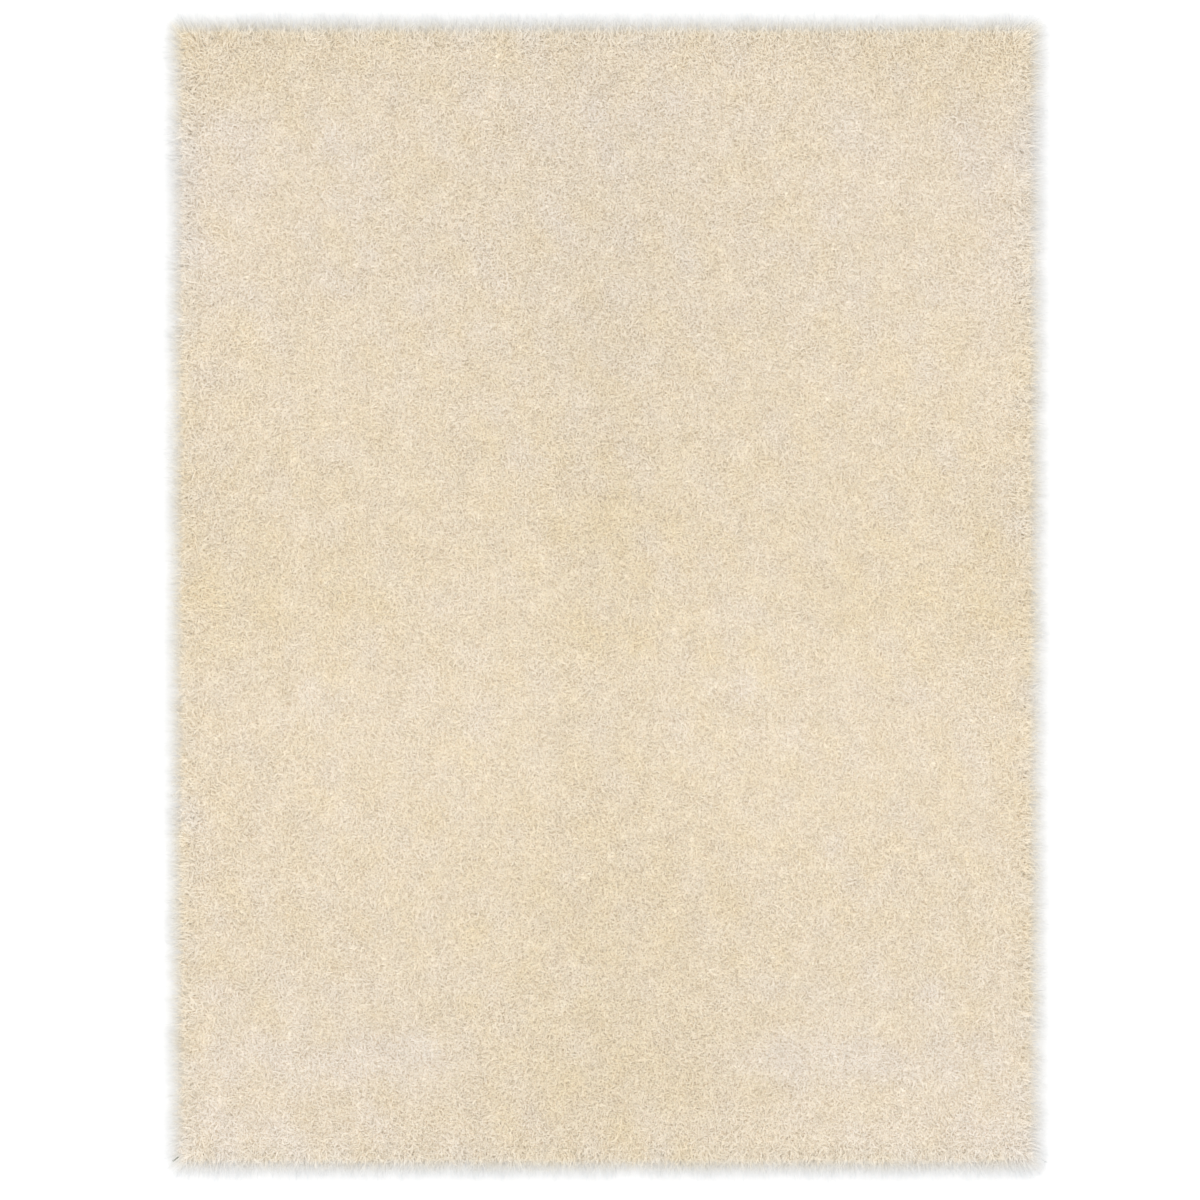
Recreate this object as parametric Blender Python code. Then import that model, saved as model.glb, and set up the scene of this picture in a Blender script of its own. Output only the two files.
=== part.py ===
"""A cream shag rug lying flat: one lumpy slab of deep cut pile on its base cloth, with locks round the rim.

Metres, +Z up. The origin is the middle of the flat underside, and +Y runs along the rug's length.
The pile rolls over at the edge, and there the outermost yarn stands out as locks that droop to the floor.
"""

import math
import random

import bmesh
import bpy
from mathutils import Vector, noise

# The rug's size, to the line where the pile thins to half at its edge.
RUG_WIDTH = 1.600
RUG_LENGTH = 2.122
PILE_TOP = 0.0345  # mean level of the pile above the floor

# The edge, from the top downwards. Insets are measured inwards from RUG_WIDTH and RUG_LENGTH.
CROWN_INSET = 0.034  # where the pile starts to roll over
SHOULDER_INSET = 0.021
BASE_INSET = 0.024  # the base cloth's own edge, on the floor
CROWN_DROP = 0.005  # how much lower the pile is there than PILE_TOP
SHOULDER_HEIGHT = 0.0215
EDGE_STRAY = 0.0016
CORNER_RADIUS = 0.026

# The top is a grid of clumps, each with a point in its middle.
CLUMPS_ACROSS = 30
CLUMPS_ALONG = 40
LOCKS_PER_CLUMP = 2  # so that the rim has 2 * 2 * (30 + 40) = 280 locks
CLUMP_STRAY = 0.20  # how far a point strays sideways, as a share of a clump's width
LUMP_SCATTER = 0.0026  # each point's own height, up or down
LUMP_SPAN = 0.11  # lumps that neighbouring clumps share
LUMP_RISE = 0.0034
SWELL_SPAN = 0.34  # broad swells, where the pile leans one way
SWELL_RISE = 0.0030

# Each face of the rim is drawn out into one lock.
LOCK_REACH = (0.025, 0.0395)  # from its root to its tip, measured outwards
LOCK_TIP_HEIGHT = (0.002, 0.009)
LOCK_LEAN = 0.012  # sideways at the tip, shared by neighbours
LOCK_STRAY = 0.0045  # sideways at the tip, each lock's own
LEAN_SPAN = 0.15
# Its sections: how far along it, its thickness as a share of the root's, and its level from tip (0) to root (1).
LOCK_SECTIONS = (
    {"along": 0.35, "size": 0.68, "level": 0.88},
    {"along": 0.75, "size": 0.38, "level": 0.42},
)

SEED = 41
IVORY = (0.79, 0.68, 0.52, 1.0)
PILE_ROUGHNESS = 0.92


def clear_scene():
    for obj in list(bpy.data.objects):
        bpy.data.objects.remove(obj)


def ivory_yarn():
    material = bpy.data.materials.new("ivory_yarn")
    material.use_nodes = True
    shader = material.node_tree.nodes["Principled BSDF"]
    shader.inputs["Base Color"].default_value = IVORY
    shader.inputs["Roughness"].default_value = PILE_ROUGHNESS
    shader.inputs["Metallic"].default_value = 0.0
    return material


def either_way(rng, size):
    return rng.uniform(-size, size)


def half_sides(inset):
    return RUG_WIDTH / 2 - inset, RUG_LENGTH / 2 - inset


def outward(point):
    """The way out of the rug at a point of its rim: square to a side, and fanned round a corner."""
    core_x, core_y = (side - CORNER_RADIUS for side in half_sides(SHOULDER_INSET))
    nearest = Vector((max(-core_x, min(core_x, point.x)), max(-core_y, min(core_y, point.y)), 0))
    return (Vector((point.x, point.y, 0)) - nearest).normalized()


def round_corner(x, y):
    """Draws the crown's sharp corners in to a rounded one. Other points stay where they are."""
    radius = CORNER_RADIUS - (CROWN_INSET - SHOULDER_INSET)
    core_x, core_y = (side - radius for side in half_sides(CROWN_INSET))
    out_x, out_y = abs(x) - core_x, abs(y) - core_y
    if out_x <= 0 or out_y <= 0:
        return x, y
    shrink = radius / math.hypot(out_x, out_y)
    return math.copysign(core_x + out_x * shrink, x), math.copysign(core_y + out_y * shrink, y)


def pile_level(x, y, rng):
    lump = noise.noise(Vector((x, y, 0)) / LUMP_SPAN) * LUMP_RISE
    swell = noise.noise(Vector((x, y, 3)) / SWELL_SPAN) * SWELL_RISE
    return PILE_TOP + lump + swell + either_way(rng, LUMP_SCATTER)


def lay_clumps(bm, rng):
    """The top of the pile as a grid of clumps, with twice as many points along its border as inside."""
    half_x, half_y = half_sides(CROWN_INSET)
    bmesh.ops.create_grid(bm, x_segments=CLUMPS_ACROSS, y_segments=CLUMPS_ALONG, size=1)
    for point in bm.verts:
        point.co = Vector((point.co.x * half_x, point.co.y * half_y, 0))
    border = [edge for edge in bm.edges if edge.is_boundary]
    bmesh.ops.subdivide_edges(bm, edges=border, cuts=LOCKS_PER_CLUMP - 1)

    stray = CLUMP_STRAY * 2 * half_x / CLUMPS_ACROSS
    for point in bm.verts:
        x, y, _ = point.co
        on_side = math.isclose(abs(x), half_x, abs_tol=1e-5)
        on_end = math.isclose(abs(y), half_y, abs_tol=1e-5)
        if not on_side:
            x += either_way(rng, stray)
        if not on_end:
            y += either_way(rng, stray)
        drop = CROWN_DROP if on_side or on_end else 0
        x, y = round_corner(x, y)
        point.co = Vector((x, y, pile_level(x, y, rng) - drop))
    middles = bmesh.ops.poke(bm, faces=list(bm.faces), center_mode="MEAN")["verts"]
    for middle in middles:
        middle.co.z = pile_level(middle.co.x, middle.co.y, rng)


def draw_edge_down(bm, border, move_out, height, rng):
    """Extrudes the open border to a new height. Returns the new border and the band of faces between."""
    made = bmesh.ops.extrude_edge_only(bm, edges=border)["geom"]
    for point in made:
        if isinstance(point, bmesh.types.BMVert):
            moved = point.co + outward(point.co) * (move_out + either_way(rng, EDGE_STRAY))
            point.co = Vector((moved.x, moved.y, height))
    band = [item for item in made if isinstance(item, bmesh.types.BMFace)]
    new_border = [item for item in made if isinstance(item, bmesh.types.BMEdge) and item.is_boundary]
    return new_border, band


def pull_lock(bm, root, rng):
    """Draws one face of the rim out into a four-sided lock that thins, leans and droops."""
    centre = root.calc_center_median()
    out = outward(centre)
    along = Vector((-out.y, out.x, 0))
    lean = noise.noise(centre / LEAN_SPAN + Vector((0, 0, 5))) * LOCK_LEAN + either_way(rng, LOCK_STRAY)
    tip = centre + out * rng.uniform(*LOCK_REACH) + along * lean
    tip.z = rng.uniform(*LOCK_TIP_HEIGHT)

    corners = [corner.co - centre for corner in root.verts]
    end = root
    for section in LOCK_SECTIONS:
        end = bmesh.ops.extrude_discrete_faces(bm, faces=[end])["faces"][0]
        middle = centre.lerp(tip, section["along"])
        middle.z = tip.z + (centre.z - tip.z) * section["level"]
        for corner, from_centre in zip(end.verts, corners):
            corner.co = middle + from_centre * section["size"]
    bmesh.ops.poke(bm, faces=[end])["verts"][0].co = tip


def shag_rug():
    rng = random.Random(SEED)
    bm = bmesh.new()
    lay_clumps(bm, rng)
    border = [edge for edge in bm.edges if edge.is_boundary]
    border, _ = draw_edge_down(bm, border, CROWN_INSET - SHOULDER_INSET, SHOULDER_HEIGHT, rng)
    border, roots = draw_edge_down(bm, border, SHOULDER_INSET - BASE_INSET, 0, rng)
    bmesh.ops.contextual_create(bm, geom=border)
    bmesh.ops.recalc_face_normals(bm, faces=bm.faces)
    for root in roots:
        pull_lock(bm, root, rng)

    mesh = bpy.data.meshes.new("shag_rug")
    bm.to_mesh(mesh)
    bm.free()
    mesh.materials.append(ivory_yarn())
    rug = bpy.data.objects.new("shag_rug", mesh)
    collection = bpy.data.collections.new("shag_rug")
    bpy.context.scene.collection.children.link(collection)
    collection.objects.link(rug)


clear_scene()
shag_rug()
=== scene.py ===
# %% [markdown]
# # A cream shag rug, lock by lock
#
# The rug is one tufted piece: a base cloth, and a deep pile of soft yarn sewn through it and cut open.
# Its solid model is a lumpy slab with a few hundred thick locks round its rim. This lesson dresses that slab:
# it lays a woven base cloth, a bed of matted yarn, and then some three hundred thousand locks of yarn.
# We start by loading the solid, because every size below is read from it or from a named value.

# %% Load the solid rug
import math

import bmesh
import bpy
import numpy as np
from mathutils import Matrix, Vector
from mathutils.bvhtree import BVHTree


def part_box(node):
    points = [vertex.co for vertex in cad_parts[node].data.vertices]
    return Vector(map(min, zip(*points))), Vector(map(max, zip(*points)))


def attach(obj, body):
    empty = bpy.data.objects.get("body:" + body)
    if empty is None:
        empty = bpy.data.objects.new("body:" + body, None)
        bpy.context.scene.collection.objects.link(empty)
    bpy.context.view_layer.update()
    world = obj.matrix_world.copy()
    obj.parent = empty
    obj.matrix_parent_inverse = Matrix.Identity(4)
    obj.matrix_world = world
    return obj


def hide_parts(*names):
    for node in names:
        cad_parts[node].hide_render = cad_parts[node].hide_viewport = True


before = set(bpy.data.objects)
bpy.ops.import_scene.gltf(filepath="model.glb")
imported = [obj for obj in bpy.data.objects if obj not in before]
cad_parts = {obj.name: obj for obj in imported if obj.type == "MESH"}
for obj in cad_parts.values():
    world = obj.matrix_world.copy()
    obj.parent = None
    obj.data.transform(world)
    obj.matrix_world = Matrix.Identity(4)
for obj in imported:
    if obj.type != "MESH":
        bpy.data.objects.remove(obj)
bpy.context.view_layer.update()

rug_low, rug_high = (Vector(corner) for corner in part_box("shag_rug"))
print("solid rug, metres:", [round(size, 4) for size in rug_high - rug_low])

# %% [markdown]
# ## How big is a pixel?
#
# The photograph looks straight down, so the rug's size in pixels turns into metres with one number.
# We read where the pile thins to half along each side. The camera then hangs above the rug, with a long
# lens so that the sides look as straight as they do there, and a few millimetres off the rug's middle,
# because the rug isn't quite in the middle of the photograph.

# %% Measure the photograph
PHOTO_SIDE = 1200
LEFT_EDGE, RIGHT_EDGE = 172.4, 1039.7
TOP_EDGE, BOTTOM_EDGE = 21.3, 1171.6
RUG_WIDTH = 1.600  # metres between the left and right edges

metres_per_pixel = RUG_WIDTH / (RIGHT_EDGE - LEFT_EDGE)
RUG_LENGTH = (BOTTOM_EDGE - TOP_EDGE) * metres_per_pixel
HALF_WIDTH, HALF_LENGTH = RUG_WIDTH / 2, RUG_LENGTH / 2
middle_column = (LEFT_EDGE + RIGHT_EDGE) / 2
middle_row = (TOP_EDGE + BOTTOM_EDGE) / 2
print(f"{metres_per_pixel * 1000:.3f} mm a pixel")
print(f"rug {RUG_WIDTH:.3f} x {RUG_LENGTH:.3f} m to the half-way line")


def from_photo(column, row):
    """The place on the rug, in metres from its middle, that the photograph shows at a pixel."""
    return (column - middle_column) * metres_per_pixel, (middle_row - row) * metres_per_pixel


# %% Hang the camera
LENS = 100.0  # millimetres
SENSOR = 36.0  # the sensor's width, in millimetres
EDGE_LEVEL = 0.018  # the height of the rug's outline above the floor
FARTHEST_SEEN = 100.0


def put_in_scene(name, data):
    """A new object in the scene, made of a mesh, a lamp or a camera."""
    thing = bpy.data.objects.new(name, data)
    bpy.context.scene.collection.objects.link(thing)
    return thing


camera_data = bpy.data.cameras.new("camera_above")
camera_data.lens = LENS
camera_data.sensor_width = SENSOR
camera_data.clip_end = FARTHEST_SEEN
camera = put_in_scene("camera_above", camera_data)
bpy.context.scene.camera = camera

view_width = PHOTO_SIDE * metres_per_pixel
camera.location = (
    *from_photo(PHOTO_SIDE / 2, PHOTO_SIDE / 2),
    EDGE_LEVEL + view_width * LENS / SENSOR,
)
print("camera at", [round(place, 3) for place in camera.location])

# %% [markdown]
# ## Floor and light
#
# The rug lies on plain white, in light so even that it casts no shadow to speak of. A bright sky gives most
# of the light and fills the pile from every side. One wide soft lamp, almost overhead, adds the little
# direction that makes leaning yarn lighter than upright yarn. The floor is only as pale as it must be to come
# out white in this light: on a brighter one, the thin yarn at the rug's edge would vanish in the glare.

# %% Light
SKY_STRENGTH = 0.96
LAMP_STRENGTH = 1.35
LAMP_SPREAD = math.radians(50)
LAMP_LEAN = math.radians(5)  # off the vertical
LAMP_HEADING = math.radians(35)

world = bpy.data.worlds.new("soft_studio")
world.use_nodes = True
sky = world.node_tree.nodes["Background"]
sky.inputs["Color"].default_value = (1.0, 1.0, 1.0, 1.0)
sky.inputs["Strength"].default_value = SKY_STRENGTH
bpy.context.scene.world = world
bpy.context.scene.view_settings.view_transform = "Standard"

lamp_data = bpy.data.lights.new("soft_lamp", "SUN")
lamp_data.energy = LAMP_STRENGTH
lamp_data.angle = LAMP_SPREAD
lamp = put_in_scene("soft_lamp", lamp_data)
lamp.rotation_euler = (0, -LAMP_LEAN, -LAMP_HEADING)

# %% Floor
FLOOR_SIDE = 60.0
FLOOR_SQUARES = 8
FLOOR_DROP = 0.0005  # how far it lies below the rug, so that the two don't share a plane
FLOOR_WHITE = 0.80
DULL = 0.9  # the roughness of a surface without any shine


def new_finish(name):
    """A new material, its nodes and its main shader."""
    material = bpy.data.materials.new(name)
    material.use_nodes = True
    return material, material.node_tree, material.node_tree.nodes["Principled BSDF"]


bpy.ops.mesh.primitive_grid_add(
    x_subdivisions=FLOOR_SQUARES, y_subdivisions=FLOOR_SQUARES, size=FLOOR_SIDE, location=(0, 0, -FLOOR_DROP)
)
floor = bpy.context.object
floor.name = "floor"
floor_paint, _, floor_shader = new_finish("floor_paint")
floor_shader.inputs["Base Color"].default_value = (FLOOR_WHITE, FLOOR_WHITE, FLOOR_WHITE, 1.0)
floor_shader.inputs["Roughness"].default_value = DULL
floor.data.materials.append(floor_paint)

# %% [markdown]
# ## Reading the pile's level off the solid
#
# The slab's top has the rug's lumps and its rolled edge. Instead of repeating its numbers we drop plumb
# lines on it: a ray straight down from above each place tells how high the pile stands there. A place beyond
# the slab gets the level of a place a little nearer the middle.

# %% Plumb lines
solid_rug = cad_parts["shag_rug"]
slab = BVHTree.FromObject(solid_rug, bpy.context.evaluated_depsgraph_get())
ABOVE = rug_high.z + 0.1  # where the plumb lines start
DRAWN_IN = 0.985  # a place's share of its distance from the middle, where the level is read instead


def pile_level(x, y):
    hit = slab.ray_cast(Vector((x, y, ABOVE)), Vector((0, 0, -1)))[0]
    return hit.z if hit else 0.0


def pile_levels(x, y):
    return np.array([
        pile_level(*place) or pile_level(*(DRAWN_IN * part for part in place)) for place in zip(x, y)
    ])


def levels_inside(x, y):
    """The pile's levels a centimetre or so nearer the middle, so that its rolled edge doesn't count."""
    return pile_levels(x * DRAWN_IN, y * DRAWN_IN)


middle_level = float(pile_levels([0.0], [0.0])[0])
print(f"pile level in the middle {middle_level * 1000:.1f} mm")

# %% [markdown]
# ## Soft chance
#
# Yarn is laid by hand and foot: neighbours lean the same way, and a metre on they lean another. For that we
# need numbers that vary smoothly over the rug. A handful of long waves that cross at random angles does it,
# works on whole arrays at once, and a fixed seed makes it the same each time.

# %% Soft chance
CHANCE_SEED = 7
WAVE_LENGTHS = (1.2, 3.2)  # from the shortest wave to the longest, as multiples of the span

rng = np.random.default_rng(CHANCE_SEED)


def soft_waves(x, y, span, seed, waves=9):
    """Smooth numbers of about -1 to 1 that change over roughly `span` metres."""
    chance = np.random.default_rng(seed)
    total = np.zeros(len(x))
    for _ in range(waves):
        heading = chance.uniform(0, 2 * math.pi)
        length = span * chance.uniform(*WAVE_LENGTHS)
        start = chance.uniform(0, 2 * math.pi)
        total += np.sin((x * math.cos(heading) + y * math.sin(heading)) * 2 * math.pi / length + start)
    return total / math.sqrt(waves)


def share_between(value, low, high):
    """How far `value` has come on its way from `low` to `high`: 0 before it, 1 beyond it."""
    return np.clip((value - low) / (high - low), 0, 1)


# %% [markdown]
# ## Soft patches of tint and painted shade
#
# The cream isn't even. Seen from above there is a cooler band near one end, a warmer one across the middle
# with a few yellow-brown spots in it, and cooler yarn again at the sides of the other end. Down the middle
# line the pile is a little darker, and beside it lighter. We note where these patches lie in the photograph,
# and how wide, and melt each one into the next with a bell curve. They lie in pairs, left and right of the
# middle. The first ones were placed one by one. Others were added, and places, widths and strengths tuned, by
# comparing a render with the photograph in averages over large blocks.
# The darker and lighter patches are painted shade, for pile that leans this way and that in the light.

# %% Soft patches of tint
# How far a pair of patches lies from the middle line and from the top edge of the photograph, and the
# half-widths of each, all in pixels. Then its strength: below 0 cool, above 0 warm.
TINT_PATCHES = {
    "cool_end_band": (0, 190, 430, 95, -0.42),
    "warm_first_corners": (350, 70, 95, 32, 0.45),
    "warm_upper_flanks": (185, 172, 62, 28, 0.45),
    "cool_corners": (393, 150, 45, 32, -1.2),
    "cool_streaks": (250, 160, 20, 45, -0.9),
    "cool_middle_top": (0, 115, 95, 35, -0.6),
    "cool_sides": (415, 255, 32, 40, -0.8),
    "warm_band": (0, 545, 430, 95, 0.28),
    "warm_spot_upper": (0, 525, 36, 22, 1.1),
    "warm_spot_lower": (0, 632, 42, 22, 0.8),
    "warm_spots": (258, 598, 26, 28, 0.6),
    "warm_side_spots": (370, 601, 50, 36, 0.8),
    "cool_gap": (132, 600, 26, 24, -0.5),
    "cool_lower_band": (210, 705, 200, 26, -0.3),
    "warm_lower_middle": (0, 900, 105, 120, 0.55),
    "warm_last_middle": (0, 1110, 110, 50, 0.85),
    "cool_line_upper": (300, 292, 110, 9, -0.5),
    "cool_bars_upper": (285, 988, 110, 12, -0.7),
    "cool_bars_outer": (330, 1056, 90, 20, -1.1),
    "cool_bars_inner": (200, 1056, 50, 18, -1.3),
    "cool_last_rows": (0, 1130, 430, 30, -0.65),
    "cool_last_corners": (400, 1135, 60, 30, -0.8),
}

# %% Soft patches of painted shade
# The same for the painted shade, for pile that leans this way and that: below 0 darker, above 0 lighter.
PAINTED_SHADE_PATCHES = {
    "dark_top_corners": (350, 62, 80, 32, -1.0),
    "dark_first_rows": (0, 48, 430, 18, -0.6),
    "dark_last_rows": (0, 1140, 430, 16, -0.6),
    "dark_upper": (0, 190, 430, 130, -0.8),
    "dark_middle_line": (0, 360, 40, 260, -0.9),
    "dark_spot_1": (0, 225, 32, 26, -0.8),
    "dark_spot_2": (0, 310, 36, 24, -0.7),
    "dark_spot_3": (0, 535, 30, 34, -1.0),
    "dark_band": (0, 445, 230, 22, -0.2),
    "dark_side_spots": (398, 515, 28, 40, -1.2),
    "dark_flank_spots": (365, 622, 38, 38, -0.7),
    "dark_inner_spots": (240, 610, 34, 42, -0.4),
    "dark_lower_middle": (0, 960, 70, 115, -0.9),
    "dark_last_middle": (0, 1090, 100, 50, -1.5),
    "light_upper": (275, 175, 75, 60, 0.8),
    "light_sides": (380, 250, 40, 40, 0.7),
    "light_upper_flanks": (290, 385, 80, 45, 0.6),
    "light_lower_flanks": (215, 720, 150, 95, 0.9),
    "light_last_corners": (345, 1095, 90, 50, 0.3),
}

# %% Tint and shade at any place
# Smaller clouds, everywhere, and faint streaks along the rows of stitches.
TINT_GRAIN = {"span": 0.045, "seed": 31, "waves": 16}
SHADE_GRAIN = {"span": 0.05, "seed": 37, "waves": 16}
ROW_STREAKS = {"span": 0.012, "seed": 43, "waves": 24}
TINT_GRAIN_STRENGTH = 0.40
SHADE_GRAIN_STRENGTH = 0.24
ROW_STREAK_STRENGTH = 0.50
ROW_SHARE = 0.12  # how fast the streaks change along a row, as a share of how fast they change across
# The warmth and the tone, from 0 to 1, where no patch lies, and how much a patch of strength 1 adds.
EVEN_WARMTH, WARMTH_ADDED = 0.5, 0.36
EVEN_TONE, TONE_ADDED = 0.49, 0.27


def clouds(x, y, patches):
    """The sum of all patches at each place of the rug."""
    total = np.zeros(len(x))
    for aside, down, half_across, half_down, strength in patches.values():
        middle_y = from_photo(middle_column, down)[1]
        far_x = (np.abs(x) - aside * metres_per_pixel) / (half_across * metres_per_pixel)
        far_y = (y - middle_y) / (half_down * metres_per_pixel)
        total += strength * np.exp(-(far_x ** 2 + far_y ** 2) / 2)
    return total


def yarn_warmth(x, y):
    """How yellow the yarn is at each place, from 0 to 1."""
    warmth = clouds(x, y, TINT_PATCHES) + TINT_GRAIN_STRENGTH * soft_waves(x, y, **TINT_GRAIN)
    return np.clip(EVEN_WARMTH + WARMTH_ADDED * warmth, 0, 1)


def yarn_tone(x, y, spread):
    """Each lock's tone from 0 to 1: chance within `spread`, round the painted shade of the place."""
    shade = clouds(x, y, PAINTED_SHADE_PATCHES) + SHADE_GRAIN_STRENGTH * soft_waves(x, y, **SHADE_GRAIN)
    shade += ROW_STREAK_STRENGTH * soft_waves(x, y * ROW_SHARE, **ROW_STREAKS)
    return np.clip(EVEN_TONE + TONE_ADDED * shade + rng.uniform(-spread, spread, len(x)), 0, 1)


# %% [markdown]
# ## The shape of one lock
#
# A lock of yarn rises from its foot, bends over and runs to a point. We describe many locks at once, as
# arrays: where each foot stands, how long and thick it is, which way it heads, and how far it leans from the
# upright at its foot and at its tip. Walking up a lock in small steps, the lean grows, and the path of the
# steps is the lock's centre line. A lock's length isn't known at first. We know how high or how far out its
# tip should be, so we walk a lock one metre long and scale it.

# %% The path of a lock
STEPS = 12  # on the walk up a lock


def centre_lines(locks):
    """The points along each lock and the direction there, each as steps x locks x 3."""
    steps = np.linspace(0, 1, STEPS + 1)[:, None]
    lean = locks["lean_foot"] + (locks["lean_tip"] - locks["lean_foot"]) * steps ** locks["late"]
    heading = locks["heading"] + locks["turn"] * steps
    way = np.stack([np.sin(lean) * np.cos(heading), np.sin(lean) * np.sin(heading), np.cos(lean)], axis=2)
    middles = (way[1:] + way[:-1]) / 2 * (locks["length"] / STEPS)[None, :, None]
    points = np.concatenate([np.zeros_like(middles[:1]), np.cumsum(middles, axis=0)]) + locks["foot"][None]
    return points, way


def reach_of_one_metre(locks):
    """How high and how far sideways each lock's tip would be if the lock were one metre long."""
    whole = dict(locks, length=np.ones(len(locks["foot"])))
    tips = centre_lines(whole)[0][-1] - locks["foot"]
    return tips[:, 2], np.hypot(tips[:, 0], tips[:, 1])


# %% [markdown]
# ## Its skin
#
# A whole tube round the centre line would waste most of its faces, because a lock is only two or three
# millimetres wide and its underside never shows. So each lock is a flat band that turns, bends and tapers to
# a point, and the rug can have that many more of them. `rings` says how far up the lock its cross-sections
# are, and how wide it is there.

# %% Corners of the skin
SHORTEST_ACROSS = 1e-6  # keeps a lock that stands upright from dividing by nothing


def lock_corners(locks, rings):
    """The two corners of every cross-section and the tips, as locks x corners x 3, and how far up each is."""
    points, way = centre_lines(locks)
    corners, up = [], []
    for ring in rings:
        step = round(ring["up"] * STEPS)
        ahead = way[step]
        across = np.stack([-ahead[:, 1], ahead[:, 0], np.zeros(len(ahead))], axis=1)
        across /= np.maximum(np.linalg.norm(across, axis=1, keepdims=True), SHORTEST_ACROSS)
        over = np.cross(ahead, across)
        side = across * np.cos(locks["spin"])[:, None] + over * np.sin(locks["spin"])[:, None]
        side *= (locks["thick"] / 2 * ring["thick"])[:, None]
        corners += [points[step] + side, points[step] - side]
        up += [ring["up"]] * 2
    corners.append(points[-1])
    up.append(1.0)
    return np.stack(corners, axis=1), np.array(up)


# %% Faces of the skin
def lock_faces(count, rings):
    """Corner numbers of all faces, and each face's size: four-cornered ones, and a three-cornered tip."""
    faces = [(low, low + 1, low + 3, low + 2) for low in range(0, 2 * rings - 2, 2)]
    faces.append((2 * rings - 2, 2 * rings - 1, 2 * rings))
    first = np.arange(count)[:, None] * (2 * rings + 1)
    corners = np.array([corner for face in faces for corner in face])
    sizes = np.array([len(face) for face in faces])
    return (first + corners[None]).ravel(), np.tile(sizes, count)


# %% [markdown]
# ## From arrays to a mesh
#
# Blender takes whole arrays of points and corners with `foreach_set`, which is far quicker than adding locks
# one by one. The yarn's finish needs to know four things about each point: how far up its lock it is, the
# lock's own tone together with the painted shade of its place, its warmth, and how much painted grey of shade
# it takes at the rim. They are stored as attributes, where a material can read them. A map of small cells,
# one for each lock, lets the colours be painted flat without one lock touching another's.

# %% What the finish needs to know
# Where loose yarn starts to take a painted grey, for the shade at the rim, and where it is all grey,
# outwards from the half-way line.
SIDE_SHADE_GREY = (-0.018, 0.014)
END_SHADE_GREY = (-0.026, 0.008)  # the same at the rug's two ends


def how_grey_in_shade(points):
    """How much painted grey of shade yarn takes at each point: 0 on the rug, 1 at the outermost tips."""
    at_side = share_between(np.abs(points[:, 0]) - HALF_WIDTH, *SIDE_SHADE_GREY)
    at_end = share_between(np.abs(points[:, 1]) - HALF_LENGTH, *END_SHADE_GREY)
    return np.maximum(at_side, at_end)


def store(mesh, name, values):
    mesh.attributes.new(name, "FLOAT", "POINT").data.foreach_set("value", values.astype(np.float32))


# %% A cell for each lock
CELL_MARGIN = 0.14  # the share of a cell that is kept free on each side


def lock_cells(count, up):
    """The corners of each lock on the map, cell after cell."""
    columns = math.ceil(math.sqrt(count))
    rows = math.ceil(count / columns)
    inner = 1 - 2 * CELL_MARGIN
    across = np.append(np.tile([0.0, 1.0], len(up) // 2), 0.5)
    number = np.arange(count)
    u = (number[:, None] % columns + CELL_MARGIN + across[None] * inner) / columns
    v = (number[:, None] // columns + CELL_MARGIN + up[None] * inner) / rows
    return np.stack([u, v], axis=2).reshape(-1, 2)


def store_map(mesh, places):
    """Keeps the place on the map of every corner of every face."""
    mesh.uv_layers.new(name="OFBake").data.foreach_set("uv", places.astype(np.float32).ravel())


# %% One mesh of many locks
def make_locks(name, locks, rings):
    corners, up = lock_corners(locks, rings)
    count, each = corners.shape[:2]
    face_corners, face_sizes = lock_faces(count, len(rings))
    mesh = bpy.data.meshes.new(name)
    mesh.vertices.add(count * each)
    mesh.vertices.foreach_set("co", corners.astype(np.float32).ravel())
    mesh.loops.add(len(face_corners))
    mesh.loops.foreach_set("vertex_index", face_corners.astype(np.int32))
    mesh.polygons.add(len(face_sizes))
    starts = np.concatenate([[0], np.cumsum(face_sizes)[:-1]])
    mesh.polygons.foreach_set("loop_start", starts.astype(np.int32))
    mesh.update(calc_edges=True)
    mesh.shade_smooth()
    store_map(mesh, lock_cells(count, up)[face_corners])
    store(mesh, "up_the_lock", np.tile(up, count))
    store(mesh, "tone_and_painted_shade", np.repeat(locks["tone"], each))
    store(mesh, "lock_warmth", np.repeat(locks["warmth"], each))
    store(mesh, "shade_grey_share", how_grey_in_shade(corners.reshape(-1, 3)))
    print(f"{name}: {count} locks, {int((face_sizes - 2).sum())} triangles")
    return put_in_scene(name, mesh)


# %% [markdown]
# ## The base cloth
#
# Under the pile lies a woven base cloth, about 3 mm thick with its coating. It is only seen from below and
# between the outermost locks. A thin rounded slab made with bmesh is enough, since its weave is too fine to
# model and goes into the finish.

# %% The base cloth
BASE_THICK = 0.003
BASE_INSET = 0.024
BASE_CORNER = 0.023
BASE_CORNER_STEPS = 6

base_half_x = HALF_WIDTH - BASE_INSET
base_half_y = HALF_LENGTH - BASE_INSET


def rounded_outline(half_x, half_y, radius, steps):
    points = []
    for quarter, (sign_x, sign_y) in enumerate(((1, 1), (-1, 1), (-1, -1), (1, -1))):
        for step in range(steps + 1):
            angle = math.radians(90) * (quarter + step / steps)
            x = sign_x * (half_x - radius) + radius * math.cos(angle)
            y = sign_y * (half_y - radius) + radius * math.sin(angle)
            points.append((x, y))
    return points


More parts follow.
